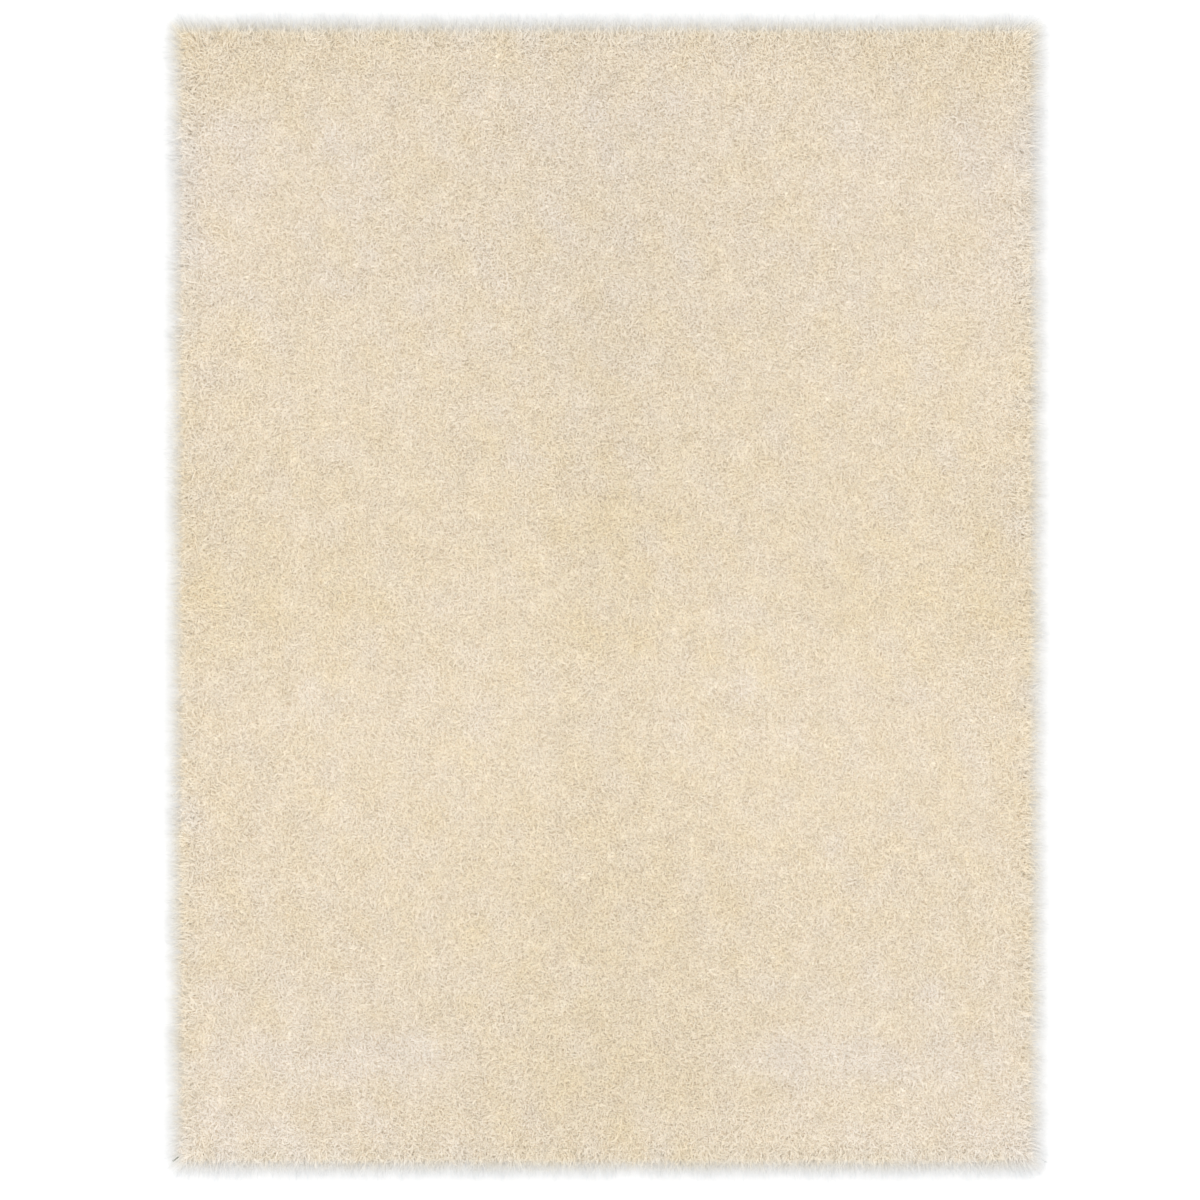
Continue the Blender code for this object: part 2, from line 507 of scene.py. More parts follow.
def make_base_cloth():
    bm = bmesh.new()
    outline = rounded_outline(base_half_x, base_half_y, BASE_CORNER, BASE_CORNER_STEPS)
    bottom = bm.faces.new([bm.verts.new((x, y, 0)) for x, y in outline])
    bottom.normal_update()
    if bottom.normal.z > 0:
        bottom.normal_flip()
    grown = bmesh.ops.extrude_face_region(bm, geom=[bottom])["geom"]
    for item in grown:
        if isinstance(item, bmesh.types.BMVert):
            item.co.z = BASE_THICK
    bmesh.ops.recalc_face_normals(bm, faces=bm.faces)
    mesh = bpy.data.meshes.new("base_cloth")
    bm.to_mesh(mesh)
    bm.free()
    return put_in_scene("base_cloth", mesh)


base_cloth = make_base_cloth()
print(f"base cloth {2 * base_half_x:.3f} x {2 * base_half_y:.3f} m")

# %% [markdown]
# ## The bed of matted yarn
#
# Deep in the pile the yarn is packed so tightly that single locks can't be told apart: only the tops of
# tufts show, with small pits between them. That mass is one sheet that follows the pile's level a
# little below it, each point pushed up or down by chance, and rolled down to the base cloth at the edge. It
# closes every gap between the locks, and where a pit lies under a gap, the pile shows one of its many small
# dark specks. Tufts and pits are too fine for points, so the finish draws them, and paints the pits brown:
# painted shade, for the shade that falls between the tufts.

# %% Points of the bed
BED_DEPTH = 0.0085  # how far the bed lies below the pile's level, on average
BED_CELL = 0.0150
BED_STRAY = 0.35  # how far a point strays sideways, as a share of a cell
BED_TUFT = 0.0012  # how far a point is pushed up or down
BED_ROLL = 0.010  # the stretch at the edge over which the bed rolls down
# How far in from the edge the bed starts to follow the pile's own level, and where it follows that alone.
BED_SHOULDER = (0.022, 0.034)


def bed_points():
    columns = round(2 * base_half_x / BED_CELL) + 1
    rows = round(2 * base_half_y / BED_CELL) + 1
    across = np.linspace(-base_half_x, base_half_x, columns)
    along = np.linspace(-base_half_y, base_half_y, rows)
    x, y = np.meshgrid(across, along)
    inward = np.minimum(base_half_x - np.abs(x), base_half_y - np.abs(y))
    inside = inward > BED_CELL / 2
    x = x + inside * rng.uniform(-BED_STRAY, BED_STRAY, x.shape) * BED_CELL
    y = y + inside * rng.uniform(-BED_STRAY, BED_STRAY, x.shape) * BED_CELL
    tuft = rng.uniform(-1, 1, x.shape)
    own_level = pile_levels(x.ravel(), y.ravel()).reshape(x.shape)
    inside_level = levels_inside(x.ravel(), y.ravel()).reshape(x.shape)
    own_share = share_between(inward, *BED_SHOULDER)
    top = inside_level + (own_level - inside_level) * own_share - BED_DEPTH + tuft * BED_TUFT
    roll = np.sqrt(1 - (1 - share_between(inward, 0, BED_ROLL)) ** 2)
    z = BASE_THICK + (top - BASE_THICK) * roll
    return np.stack([x, y, z], axis=2)


# %% Its two halves
def make_bed_half(name, points):
    rows, columns = points.shape[:2]
    first = (np.arange(rows - 1)[:, None] * columns + np.arange(columns - 1)[None]).ravel()
    faces = np.stack([first, first + 1, first + columns + 1, first + columns], axis=1)
    mesh = bpy.data.meshes.new(name)
    mesh.from_pydata(points.reshape(-1, 3).tolist(), [], faces.tolist())
    mesh.shade_smooth()
    flat = points.reshape(-1, 3)[:, :2]
    spread = (flat - flat.min(axis=0)) / (flat.max(axis=0) - flat.min(axis=0))
    store_map(mesh, spread[faces.ravel()])
    store(mesh, "tone_and_painted_shade", yarn_tone(flat[:, 0], flat[:, 1], 0.0))
    store(mesh, "lock_warmth", yarn_warmth(flat[:, 0], flat[:, 1]))
    print(f"{name}: {2 * len(faces)} triangles")
    return put_in_scene(name, mesh)


points = bed_points()
halfway = len(points) // 2
bed_halves = [
    make_bed_half("pile_bed_1", points[:halfway + 1]),
    make_bed_half("pile_bed_2", points[halfway:]),
]

# %% [markdown]
# ## Where the pile leans
#
# Feet, brushes and rolling up leave the pile lying one way here and another way there. Near the edge nothing
# holds the yarn up, so it splays outwards a little, more and more up to the rim. At a corner both edges
# pull, and the yarn fans out into the corner.

# %% Where the pile leans
LEAN_SPAN = 0.22
LEAN_HEADING = math.radians(200)  # the way that most of the pile lies
HEADING_SWING = 2.4  # how far that way swings to either side over the rug, in radians
LEAN_CONTRAST = 1.3  # the higher it is, the more of the pile leans either much or little
SPLAY_BAND = 0.055  # how far in from the base cloth's edge the pile starts to splay


def edge_pull(x, y):
    """How strongly the edges pull the pile outwards along x and along y, each from -1 to 1."""
    pull_x = np.clip(1 - (base_half_x - np.abs(x)) / SPLAY_BAND, 0, 1) * np.sign(x)
    pull_y = np.clip(1 - (base_half_y - np.abs(y)) / SPLAY_BAND, 0, 1) * np.sign(y)
    return pull_x, pull_y


def pile_flow(x, y):
    """The way the pile lies at each place, and how strongly, from 0 to 1."""
    heading = HEADING_SWING * soft_waves(x, y, LEAN_SPAN * 2, seed=11) + LEAN_HEADING
    strength = 0.5 + 0.5 * np.tanh(LEAN_CONTRAST * soft_waves(x, y, LEAN_SPAN, seed=23))
    return heading, strength


# %% [markdown]
# ## The field of locks
#
# A tufting machine sews the yarn in straight rows along the rug, so the feet stand on a grid, each pushed
# off its place a little. Only the part above the bed is made. A lock leans partly its own way and partly
# with its neighbours, and it is made just long enough for its tip to end near the pile's level.

# %% Feet in rows
FIELD_INSET = 0.003  # from the base cloth's edge to the outermost feet
STRAY_ACROSS, STRAY_ALONG = 0.22, 0.30  # how far a foot strays, as a share of the spacing


def feet_in_rows(gauge, stitch):
    half_x, half_y = base_half_x - FIELD_INSET, base_half_y - FIELD_INSET
    columns = np.arange(-half_x + gauge / 2, half_x, gauge)
    rows = np.arange(-half_y + stitch / 2, half_y, stitch)
    x, y = np.meshgrid(columns, rows)
    x = x + rng.uniform(-1, 1, x.shape) * gauge * STRAY_ACROSS
    y = y + rng.uniform(-1, 1, y.shape) * stitch * STRAY_ALONG
    return x.ravel(), y.ravel()


# %% How a standing lock leans
LEAN_OWN = 0.8  # how much each lock leans its own way
LEAN_FLOW = (0.15, 0.45)  # how much it follows its neighbours
EDGE_SPLAY = 0.25  # how much the edge draws it outwards
# The lean of the tip in degrees off the upright: where nothing draws it, what one whole pull adds, how much
# is left to chance, and the least and the most.
TIP_LEAN, TIP_LEAN_PULLED, TIP_LEAN_SCATTER = 52, 18, 8
TIP_LEAN_LIMITS = (40, 98)


def standing_lean(x, y):
    """The way each lock heads, and the lean of its tip, in radians."""
    heading, strength = pile_flow(x, y)
    pull_x, pull_y = edge_pull(x, y)
    own = rng.uniform(0, 2 * math.pi, len(x))
    flow = LEAN_FLOW[0] + (LEAN_FLOW[1] - LEAN_FLOW[0]) * strength
    lie_x = np.cos(heading) * flow + np.cos(own) * LEAN_OWN + pull_x * EDGE_SPLAY
    lie_y = np.sin(heading) * flow + np.sin(own) * LEAN_OWN + pull_y * EDGE_SPLAY
    lean = TIP_LEAN + TIP_LEAN_PULLED * np.hypot(lie_x, lie_y) + rng.normal(0, TIP_LEAN_SCATTER, len(x))
    return np.arctan2(lie_y, lie_x), np.radians(np.clip(lean, *TIP_LEAN_LIMITS))


# %% Standing locks
STANDING_THICKNESS = (0.8, 1.2)  # from the thinnest lock to the thickest, as a share of the usual
STANDING_TURN = 0.45  # how far a lock turns sideways on its way up, in radians
FOOT_LEAN = 22  # degrees off the upright
FOOT_FOLLOWS = 0.25  # the share of the tip's lean that the foot has too
STANDING_LATE = (1.2, 1.8)  # above 1 a lock bends mostly near its tip
STANDING_SPIN = 0.35  # how far the band is twisted round its centre line, in radians
TONE_SPREAD = 0.40
TIP_SCATTER = 0.0016  # of the tips' heights
TIP_SCATTER_LIMIT = 0.0035
LEAST_RISE = 0.1  # of a lock one metre long, so that one that lies down isn't made endlessly long
STANDING_LENGTH = (0.006, 0.030)


def standing_yarn(gauge, stitch, thick, foot_depth, tips_below):
    x, y = feet_in_rows(gauge, stitch)
    count = len(x)
    heading, lean_tip = standing_lean(x, y)
    locks = {
        "foot": np.stack([x, y, pile_levels(x, y) - foot_depth], axis=1),
        "thick": thick * rng.uniform(*STANDING_THICKNESS, count),
        "heading": heading,
        "turn": rng.normal(0, STANDING_TURN, count),
        "lean_foot": np.radians(FOOT_LEAN) + lean_tip * FOOT_FOLLOWS,
        "lean_tip": lean_tip,
        "late": rng.uniform(*STANDING_LATE, count),
        "spin": rng.normal(0, STANDING_SPIN, count),
        "tone": yarn_tone(x, y, TONE_SPREAD),
        "warmth": yarn_warmth(x, y),
    }
    scatter = np.clip(rng.normal(0, TIP_SCATTER, count), -TIP_SCATTER_LIMIT, TIP_SCATTER_LIMIT)
    rise = foot_depth - tips_below + scatter
    length = rise / np.maximum(reach_of_one_metre(locks)[0], LEAST_RISE)
    locks["length"] = np.clip(length, *STANDING_LENGTH)
    return locks


# %% [markdown]
# ## Strips of pile
#
# One mesh with every lock would be too heavy to handle, so the field is cut into strips across the rug. Two
# sorts of yarn stand in it, as they do in real shag: thicker locks that reach the top, and between them
# finer yarn that stays a little lower and fills the pile.

# %% Strips of pile
# The gauge is the spacing between rows, across the rug, and the stitch that between locks, along a row. The
# foot's depth and the tips' place are measured down from the pile's level.
THICK_LOCKS = {"gauge": 0.0054, "stitch": 0.0053, "thick": 0.0026, "foot_depth": 0.0105, "tips_below": 0.0}
FINE_YARN = {"gauge": 0.0046, "stitch": 0.0046, "thick": 0.0021, "foot_depth": 0.0095, "tips_below": 0.0012}
STRIP_RINGS = ({"up": 0.0, "thick": 0.85}, {"up": 0.58, "thick": 1.0})


def make_strips(name, locks, strips):
    order = np.argsort(locks["foot"][:, 1], kind="stable")
    return [
        make_locks(f"{name}_{number}", {key: values[chosen] for key, values in locks.items()}, STRIP_RINGS)
        for number, chosen in enumerate(np.array_split(order, strips), start=1)
    ]


lock_yarn = standing_yarn(**THICK_LOCKS)
fine_yarn = standing_yarn(**FINE_YARN)
lock_strips = make_strips("pile_locks", lock_yarn, strips=2)
fine_strips = make_strips("fine_yarn", fine_yarn, strips=3)

# %% [markdown]
# ## The rim
#
# Round the edge the yarn rolls over. The upper locks arch out over the pile's shoulder. A skirt of yarn
# hangs down its side and hides the base cloth's edge. Lower locks stand out almost level and droop towards
# the floor, and among them are thin wisps, single yarns that have come loose, which make the edge fade out
# instead of ending in a line. Here we start from the middles of the locks, spread evenly along the edge.
# Each has its foot further in and its tip further out, and at a corner the locks fan out.

# %% Feet and tips
CORNER_GATHER = 0.045  # the last stretch before a corner, over which the locks fan out
OUTLINE_ROUND = 0.008  # the radius of the outline's corners


def rim_feet_and_tips(inset, reach):
    """Feet `inset` inside the base cloth's edge, and tips `reach` beyond it: the x and y of both."""
    count = len(inset)
    near_x, near_y = base_half_x - CORNER_GATHER, base_half_y - CORNER_GATHER
    mid_x, mid_y = base_half_x + (reach - inset) / 2, base_half_y + (reach - inset) / 2
    along = rng.uniform(0, 1, count) * (mid_x + mid_y)
    on_end = along < mid_x

    def outline(out):
        """The locks' places on the outline `out` beyond the base cloth's edge."""
        far_x, far_y = base_half_x + out, base_half_y + out
        fan_x = (far_x - near_x) / (mid_x - near_x)
        fan_y = (far_y - near_y) / (mid_y - near_y)
        x = np.where(along < near_x, along, near_x + (along - near_x) * fan_x)
        down = along - mid_x
        y = np.where(down < near_y, down, near_y + (down - near_y) * fan_y)
        return np.where(on_end, x, far_x), np.where(on_end, far_y, y)

    foot_x, foot_y = outline(-inset)
    tip_x, tip_y = outline(reach)
    core_x, core_y = base_half_x + reach - OUTLINE_ROUND, base_half_y + reach - OUTLINE_ROUND
    over_x, over_y = tip_x - core_x, tip_y - core_y
    cut = np.where((over_x > 0) & (over_y > 0), OUTLINE_ROUND / np.hypot(over_x, over_y), 1.0)
    tip_x, tip_y = core_x + over_x * cut, core_y + over_y * cut
    sign_x, sign_y = rng.choice([-1, 1], (2, count))
    return foot_x * sign_x, foot_y * sign_y, tip_x * sign_x, tip_y * sign_y


# %% How high the feet are
ARCH_DEPTH = (0.005, 0.013)  # of the upper feet, below the pile's level
LOW_FEET = (0.0015, 0.010)  # of the lower feet, above the floor


def upper_level(x, y):
    """Feet a little below the pile's own level."""
    return levels_inside(x, y) - rng.uniform(*ARCH_DEPTH, len(x))


def any_level(x, y):
    """Feet anywhere between the base cloth and the pile's level."""
    top = levels_inside(x, y) - ARCH_DEPTH[1]
    return BASE_THICK + (top - BASE_THICK) * rng.uniform(0, 1, len(x))


def low_level(x, y):
    """Feet near the base cloth."""
    return rng.uniform(*LOW_FEET, len(x))


# %% [markdown]
# ## Four kinds of rim yarn
#
# All four are made by the same steps, so a short table says what each is like. A lock is first made just long
# enough to reach out to its tip. One that would dip into the floor gets its tip lifted, and any lock that
# is still too low or too high is moved up or down as a whole. Longer yarn strays less near the corners,
# where it would otherwise stick out past the outline.

# %% The four kinds
# Inset and reach are metres inside and beyond the base cloth's edge, except that the arching yarn's reach
# counts from its own foot. Leans are in degrees off the upright, from least to most. The stray is in
# radians, first along the sides and then at the corners.
HANG_RINGS = ({"up": 0.0, "thick": 0.9}, {"up": 0.58, "thick": 1.0})
LOOSE_RINGS = ({"up": 0.0, "thick": 1.0}, {"up": 0.75, "thick": 0.9})
RIM_YARNS = {
    "rim_arching": {
        "count": 27000, "thick": 0.0017, "rings": HANG_RINGS, "level": upper_level, "from_foot": True,
        "inset": (0.000, 0.026), "reach": (0.005, 0.022),
        "lean_foot": (40, 62), "lean_tip": (75, 112), "stray": (0.8, 0.7),
    },
    "rim_skirt": {
        "count": 9000, "thick": 0.0024, "rings": HANG_RINGS, "level": any_level, "from_foot": False,
        "inset": (0.000, 0.006), "reach": (0.001, 0.012),
        "lean_foot": (45, 75), "lean_tip": (95, 140), "stray": (0.5, 0.5),
    },
    "rim_drooping": {
        "count": 10000, "thick": 0.0013, "rings": LOOSE_RINGS, "level": low_level, "from_foot": False,
        "inset": (0.001, 0.010), "reach": (0.004, 0.046),
        "lean_foot": (40, 75), "lean_tip": (80, 105), "stray": (0.45, 0.25),
    },
    "rim_wisps": {
        "count": 13000, "thick": 0.0008, "rings": LOOSE_RINGS, "level": any_level, "from_foot": False,
        "inset": (0.001, 0.012), "reach": (0.010, 0.056),
        "lean_foot": (35, 75), "lean_tip": (75, 108), "stray": (0.45, 0.25),
    },
}

# %% Locks of the rim
RIM_THICKNESS = (0.7, 1.25)
RIM_LATE = (0.8, 1.3)
RIM_SPIN = 0.7
CORNER_SPAN = 0.06  # how near to a corner that corner's stray begins to count
LONGEST_RIM_LOCK = 0.060
FLOOR_GAP = 0.0007  # the lowest tips stay this far above the floor
TIP_LIFT = 2.2  # radians, for a tip that would dip into the floor by the lock's own length
MOST_TIP_LIFT = 1.0


def stray_at(x, y, on_side, at_corner):
    """How far yarn strays sideways at each place, in radians."""
    from_corner = np.maximum(base_half_x - np.abs(x), base_half_y - np.abs(y))
    return at_corner + (on_side - at_corner) * share_between(from_corner, 0, CORNER_SPAN)


def keep_off_floor(locks):
    """Lifts the tips that dip too low, and then moves whole locks between the floor and the rug's top."""
    tip_height = locks["foot"][:, 2] + reach_of_one_metre(locks)[0] * locks["length"]
    locks["lean_tip"] -= np.clip((FLOOR_GAP - tip_height) / locks["length"] * TIP_LIFT, 0, MOST_TIP_LIFT)
    locks["foot"][:, 2] -= np.maximum(centre_lines(locks)[0][..., 2].max(axis=0) - rug_high.z, 0)
    locks["foot"][:, 2] += np.maximum(FLOOR_GAP - centre_lines(locks)[0][..., 2].min(axis=0), 0)


def rim_yarn(kind):
    count = kind["count"]
    inset = rng.uniform(*kind["inset"], count)
    reach = rng.uniform(*kind["reach"], count)
    if kind["from_foot"]:
        reach -= inset
    foot_x, foot_y, tip_x, tip_y = rim_feet_and_tips(inset, reach)
    out_x, out_y = tip_x - foot_x, tip_y - foot_y
    sideways = stray_at(tip_x, tip_y, *kind["stray"])
    locks = {
        "foot": np.stack([foot_x, foot_y, kind["level"](foot_x, foot_y)], axis=1),
        "thick": kind["thick"] * rng.uniform(*RIM_THICKNESS, count),
        "heading": np.arctan2(out_y, out_x) + rng.normal(0, 1, count) * sideways,
        "turn": rng.normal(0, 1, count) * sideways,
        "lean_foot": np.radians(rng.uniform(*kind["lean_foot"], count)),
        "lean_tip": np.radians(rng.uniform(*kind["lean_tip"], count)),
        "late": rng.uniform(*RIM_LATE, count),
        "spin": rng.normal(0, RIM_SPIN, count),
        "tone": yarn_tone(foot_x, foot_y, TONE_SPREAD),
        "warmth": yarn_warmth(foot_x, foot_y),
    }
    length = np.hypot(out_x, out_y) / reach_of_one_metre(locks)[1]
    locks["length"] = np.minimum(length, LONGEST_RIM_LOCK)
    keep_off_floor(locks)
    return locks


rim_pieces = {name: make_locks(name, rim_yarn(kind), kind["rings"]) for name, kind in RIM_YARNS.items()}

# %% [markdown]
# ## Cut ends at two corners
#
# At the two lower corners of the photograph a few dark ends of yarn stick out. They are painted shade: dark
# yarn that stands for small bits of shadow at those corners. They are a small bundle each. The bundle points
# out of the corner, and its few ends spread like fingers.

# %% Cut ends at two corners
# Their middles in the photograph, in pixels, and how pale they are.
CUT_ENDS_AT = ((176.0, 1159.5, 0.0), (1043.5, 1160.5, 0.6))
CUT_ENDS = 7  # in each bundle
CUT_THICK = 0.0016
CUT_LENGTH = (0.010, 0.016)
CUT_LEVEL = 0.020  # of the feet, above the floor
CUT_SCATTER = 0.0012  # of the feet, sideways
CUT_FAN = 0.2  # how far the ends spread, in radians
CUT_LEAN_FOOT, CUT_LEAN_TIP = (70, 80), (85, 105)  # degrees
CUT_SPIN = 0.4


def shadow_cut_ends(column, row, pale):
    middle_x, middle_y = from_photo(column, row)
    heading = math.atan2(math.copysign(1, middle_y), math.copysign(1, middle_x))
    length = rng.uniform(*CUT_LENGTH, CUT_ENDS)
    foot_x = middle_x - length / 2 * math.cos(heading) + rng.normal(0, CUT_SCATTER, CUT_ENDS)
    foot_y = middle_y - length / 2 * math.sin(heading) + rng.normal(0, CUT_SCATTER, CUT_ENDS)
    return {
        "foot": np.stack([foot_x, foot_y, np.full(CUT_ENDS, CUT_LEVEL)], axis=1),
        "thick": np.full(CUT_ENDS, CUT_THICK),
        "heading": heading + rng.normal(0, CUT_FAN, CUT_ENDS),
        "turn": rng.normal(0, CUT_FAN, CUT_ENDS),
        "lean_foot": np.radians(rng.uniform(*CUT_LEAN_FOOT, CUT_ENDS)),
        "lean_tip": np.radians(rng.uniform(*CUT_LEAN_TIP, CUT_ENDS)),
        "late": np.ones(CUT_ENDS),
        "spin": rng.normal(0, CUT_SPIN, CUT_ENDS),
        "tone": np.full(CUT_ENDS, pale),
        "warmth": np.zeros(CUT_ENDS),
        "length": length,
    }


bundles = [shadow_cut_ends(*place) for place in CUT_ENDS_AT]
all_ends = {key: np.concatenate([bundle[key] for bundle in bundles]) for key in bundles[0]}
corner_shadow_ends = make_locks("corner_shadow_ends", all_ends, LOOSE_RINGS)

# %% [markdown]
# ## The yarn's finish
#
# Cream yarn is palest at its tips. Towards its foot it is painted deeper and yellower: painted shade for the
# depth of the pile, where light has passed through more of it. Every lock has a slightly different tone, the
# patches above make it cooler or warmer, and the patches of painted shade make it darker or lighter. The
# browner flecks in the yarn and the pits in the bed are painted shade for the small shaded gaps between
# tufts, and are deeper where the pile is dark, as in the photograph. Fine fibres give a bump, and a soft
# sheen lifts the edges. Yarn is loose fibre, so light goes through it: without that, the gaps between the
# locks would look like black holes. The further out the loose yarn of the rim reaches, the thinner it is and
# the more it is painted a pale grey: painted shade, for the shadowed floor seen between the thin yarn.

# %% Mixing and stretching
COLOUR_INPUTS = (0, 6, 7)  # a Mix node's sockets for the share and for its two colours
COLOUR_OUTPUT = 2


def colour_mix(tree, blend, share, first, second):
    """A Mix node for colours. Each input is a socket, a number or a colour."""
    node = tree.nodes.new("ShaderNodeMix")
    node.data_type = "RGBA"
    node.blend_type = blend
    for number, value in zip(COLOUR_INPUTS, (share, first, second)):
        socket = node.inputs[number]
        if isinstance(value, bpy.types.NodeSocket):
            tree.links.new(value, socket)
        else:
            socket.default_value = (*value, 1.0) if isinstance(value, tuple) else value
    return node.outputs[COLOUR_OUTPUT]


def stretched(tree, value, low, high, to_low=0.0, to_high=1.0):
    """A Map Range node: `low` to `high` becomes `to_low` to `to_high`."""
    node = tree.nodes.new("ShaderNodeMapRange")
    for name, number in (("From Min", low), ("From Max", high), ("To Min", to_low), ("To Max", to_high)):
        node.inputs[name].default_value = number
    tree.links.new(value, node.inputs["Value"])
    return node.outputs["Result"]


# %% Stored values, noise and bumps
def stored(tree, name):
    node = tree.nodes.new("ShaderNodeAttribute")
    node.attribute_name = name
    return node.outputs["Fac"]


def place_noise(tree, scale, detail, low, high):
    """Noise fixed to the rug, stretched so that `low` to `high` becomes 0 to 1."""
    coordinates = tree.nodes.new("ShaderNodeTexCoord")
    pattern = tree.nodes.new("ShaderNodeTexNoise")
    pattern.inputs["Scale"].default_value = scale
    pattern.inputs["Detail"].default_value = detail
    tree.links.new(coordinates.outputs["Object"], pattern.inputs["Vector"])
    return stretched(tree, pattern.outputs["Fac"], low, high)


def raised(tree, shader, height, strength, distance):
    """A Bump node: the surface seems raised where `height` is 1, by `distance` metres at full strength."""
    bump = tree.nodes.new("ShaderNodeBump")
    bump.inputs["Strength"].default_value = strength
    bump.inputs["Distance"].default_value = distance
    tree.links.new(height, bump.inputs["Height"])
    tree.links.new(bump.outputs["Normal"], shader.inputs["Normal"])


# %% Tone and flecks
DARKEST_TONE = 0.962  # what the colour of the darkest locks is multiplied by
SHADE_RANGE = (0.2, 0.9)  # the tones between which flecks and pits turn from deep to pale
# Painted shade: browner flecks for the shaded gaps between tufts, deeper where the pile is dark.
SHADE_FLECK_DEEP = (0.66, 0.565, 0.455)
SHADE_FLECK_PALE = (0.78, 0.70, 0.60)
# Its low and high stand back to front, so that the flecks lie where the noise is low.
SHADE_FLECKS = {"scale": 400.0, "detail": 1.0, "low": 0.42, "high": 0.30}


def toned(tree, colour):
    """A colour darkened by the lock's own tone and by the painted shade of its place."""
    tone = stretched(tree, stored(tree, "tone_and_painted_shade"), 0, 1, DARKEST_TONE, 1.0)
    return colour_mix(tree, "MULTIPLY", 1.0, colour, tone)


def by_shade(tree, deep, pale):
    """Deep where painted shade makes the pile dark, pale where it makes it light."""
    return colour_mix(tree, "MIX", stretched(tree, stored(tree, "tone_and_painted_shade"), *SHADE_RANGE), deep, pale)


def shade_flecked(tree, colour):
    """Painted shade: browner flecks a millimetre or two across, for the small shaded gaps between tufts."""
    browner = colour_mix(tree, "MULTIPLY", 1.0, colour, by_shade(tree, SHADE_FLECK_DEEP, SHADE_FLECK_PALE))
    return colour_mix(tree, "MIX", place_noise(tree, **SHADE_FLECKS), colour, browner)


# %% Light through yarn
LIGHT_THROUGH = 0.36  # the share of the light on a lock that comes out at its other side


def let_through(tree, shader, colour):
    thin = tree.nodes.new("ShaderNodeBsdfTranslucent")
    tree.links.new(colour, thin.inputs["Color"])
    mixed = tree.nodes.new("ShaderNodeMixShader")
    mixed.inputs[0].default_value = LIGHT_THROUGH
    tree.links.new(shader.outputs["BSDF"], mixed.inputs[1])
    tree.links.new(thin.outputs["BSDF"], mixed.inputs[2])
    tree.links.new(mixed.outputs[0], tree.nodes["Material Output"].inputs["Surface"])


# %% Yarn
TIP_COOL = (0.970, 0.934, 0.878)
TIP_WARM = (0.985, 0.907, 0.735)
# Painted shade: the foot colours are deeper and yellower, for the shade low in the pile.
SHADED_FOOT_COOL = (0.93, 0.865, 0.775)
SHADED_FOOT_WARM = (0.93, 0.85, 0.69)
# Painted shade: a pale grey for the shadowed floor seen between thin yarn at the rim.
PAINTED_SHADE_GREY = (0.785, 0.805, 0.825)
FOOT_TO_TIP = (0.35, 0.85)  # how far up a lock its colour starts and ends to turn
FIBRES = {"scale": 900.0, "detail": 2.0, "low": 0.3, "high": 0.7}
YARN_BUMP = {"strength": 0.25, "distance": 0.0006}
YARN_ROUGHNESS = 0.85
FAINT_GLOSS = 0.2
SHEEN, SHEEN_ROUGHNESS = 0.1, 0.5


def yarn_finish(name, deep, greys_in_shade=False):
    """Yarn that takes its foot's painted shade by the share `deep`; loose yarn is painted grey near the
    outline.
    """
    material, tree, shader = new_finish(name)
    warmth = stored(tree, "lock_warmth")
    tip = colour_mix(tree, "MIX", warmth, TIP_COOL, TIP_WARM)
    foot = colour_mix(tree, "MIX", warmth, SHADED_FOOT_COOL, SHADED_FOOT_WARM)
    tip_share = stretched(tree, stored(tree, "up_the_lock"), *FOOT_TO_TIP, 1 - deep, 1.0)
    colour = shade_flecked(tree, toned(tree, colour_mix(tree, "MIX", tip_share, foot, tip)))
    if greys_in_shade:
        colour = colour_mix(tree, "MIX", stored(tree, "shade_grey_share"), colour, PAINTED_SHADE_GREY)
    tree.links.new(colour, shader.inputs["Base Color"])
    raised(tree, shader, place_noise(tree, **FIBRES), **YARN_BUMP)
    shader.inputs["Roughness"].default_value = YARN_ROUGHNESS
    shader.inputs["Specular IOR Level"].default_value = FAINT_GLOSS
    shader.inputs["Sheen Weight"].default_value = SHEEN
    shader.inputs["Sheen Roughness"].default_value = SHEEN_ROUGHNESS
    let_through(tree, shader, colour)
    return material


# %% [markdown]
# ## The other three finishes
#
# The cut ends are painted shade, a dark, greenish grey, paler where their fibres spread. The matted bed is a
# noise of pale tufts and browner pits of painted shade, which raises the surface too, so that the tufts catch
# the light. The base cloth is a plain weave: one set of waves runs along and one across, and the higher of
# the two is on top. Nodes that stay fixed to the rug can draw all this, while shaping each thread would take
# millions of faces.

# %% Cut ends
# Painted shade: a dark greenish grey for small bits of shadow at two corners.
CUT_END_SHADE = (0.17, 0.19, 0.15)
CUT_END_SHADE_SPREAD = (0.40, 0.41, 0.36)
SPREAD_FIBRES = {"scale": 700.0, "detail": 1.0, "low": 0.35, "high": 0.7}
CUT_END_BUMP = {"strength": 0.3, "distance": 0.0006}


def cut_end_shade_finish():
    material, tree, shader = new_finish("shadow_cut_ends")
    spread = place_noise(tree, **SPREAD_FIBRES)
    dark = colour_mix(tree, "MIX", spread, CUT_END_SHADE, CUT_END_SHADE_SPREAD)
    colour = colour_mix(tree, "MIX", stored(tree, "tone_and_painted_shade"), dark, PAINTED_SHADE_GREY)
    tree.links.new(colour, shader.inputs["Base Color"])
    raised(tree, shader, spread, **CUT_END_BUMP)
    shader.inputs["Roughness"].default_value = DULL
    shader.inputs["Specular IOR Level"].default_value = FAINT_GLOSS
    return material


# %% Matted yarn
TUFT_COOL = (0.965, 0.905, 0.81)
TUFT_WARM = (0.965, 0.89, 0.71)
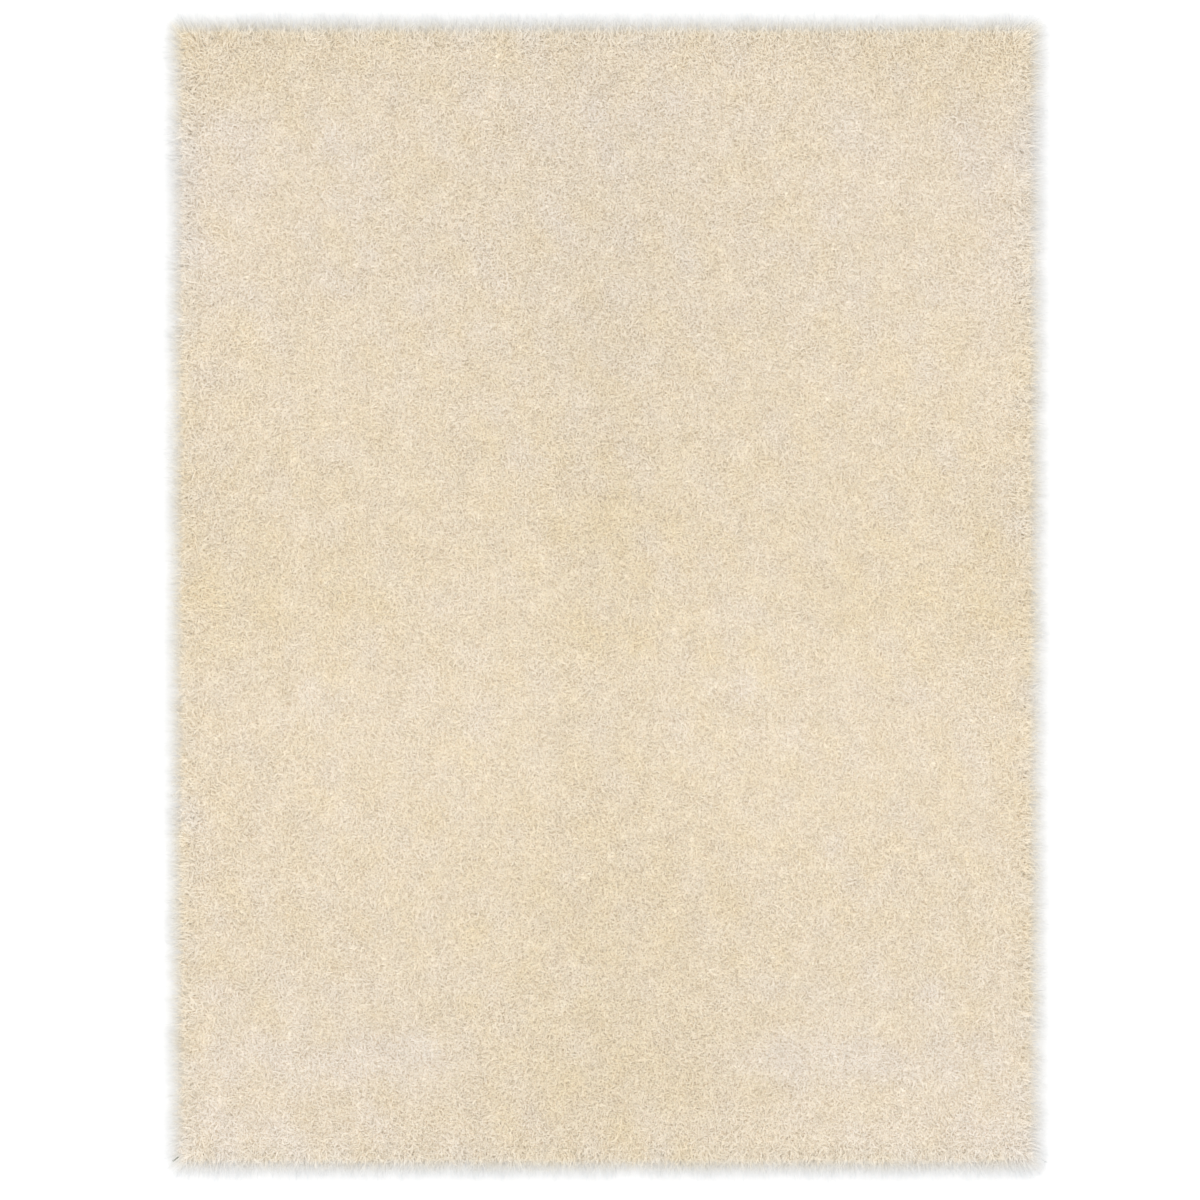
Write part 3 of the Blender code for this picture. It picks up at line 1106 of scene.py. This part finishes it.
# Painted shade: the pits between the tufts are browner, and deeper where the pile is dark.
SHADED_PIT_DEEP = (0.64, 0.535, 0.405)
SHADED_PIT_PALE = (0.78, 0.68, 0.555)
TUFTS = {"scale": 300.0, "detail": 3.0, "low": 0.36, "high": 0.56}
TUFT_BUMP = {"strength": 0.8, "distance": 0.003}


def matted_finish():
    material, tree, shader = new_finish("matted_yarn")
    tuft_colour = colour_mix(tree, "MIX", stored(tree, "lock_warmth"), TUFT_COOL, TUFT_WARM)
    tufts = place_noise(tree, **TUFTS)
    matted = colour_mix(tree, "MIX", tufts, by_shade(tree, SHADED_PIT_DEEP, SHADED_PIT_PALE), tuft_colour)
    tree.links.new(toned(tree, matted), shader.inputs["Base Color"])
    raised(tree, shader, tufts, **TUFT_BUMP)
    shader.inputs["Roughness"].default_value = DULL
    shader.inputs["Specular IOR Level"].default_value = FAINT_GLOSS
    return material


# %% Base cloth
THREAD_SCALE = 110.0
THREAD_WAVER = 0.6
BETWEEN_THREADS = (0.42, 0.35, 0.25)
THREADS = (0.66, 0.58, 0.45)
WEAVE_BUMP = {"strength": 0.7, "distance": 0.0008}


def base_cloth_finish():
    material, tree, shader = new_finish("woven_base")
    coordinates = tree.nodes.new("ShaderNodeTexCoord")
    weave = tree.nodes.new("ShaderNodeMath")
    weave.operation = "MAXIMUM"
    for direction, height in zip("XY", weave.inputs):
        threads = tree.nodes.new("ShaderNodeTexWave")
        threads.bands_direction = direction
        threads.inputs["Scale"].default_value = THREAD_SCALE
        threads.inputs["Distortion"].default_value = THREAD_WAVER
        tree.links.new(coordinates.outputs["Object"], threads.inputs["Vector"])
        tree.links.new(threads.outputs["Fac"], height)
    colour = colour_mix(tree, "MIX", weave.outputs[0], BETWEEN_THREADS, THREADS)
    tree.links.new(colour, shader.inputs["Base Color"])
    raised(tree, shader, weave.outputs[0], **WEAVE_BUMP)
    shader.inputs["Roughness"].default_value = DULL
    return material


# %% Put on the finishes
cream_yarn = yarn_finish("cream_yarn", deep=1.0)
loose_yarn = yarn_finish("loose_yarn", deep=0.3, greys_in_shade=True)
matted_yarn = matted_finish()
for piece in [*lock_strips, *fine_strips, rim_pieces["rim_skirt"]]:
    piece.data.materials.append(cream_yarn)
for name in ("rim_arching", "rim_drooping", "rim_wisps"):
    rim_pieces[name].data.materials.append(loose_yarn)
for piece in bed_halves:
    piece.data.materials.append(matted_yarn)
corner_shadow_ends.data.materials.append(cut_end_shade_finish())
base_cloth.data.materials.append(base_cloth_finish())

# %% [markdown]
# ## Handing the rug over
#
# Every piece rides on the rug's one body and takes the place of the slab.

# %% Handing the rug over
pile_pieces = [*lock_strips, *fine_strips, *rim_pieces.values(), corner_shadow_ends]
all_pieces = [base_cloth, *bed_halves, *pile_pieces]
for piece in all_pieces:
    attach(piece, "root")
    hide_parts("shag_rug")
print("pieces:", len(all_pieces))
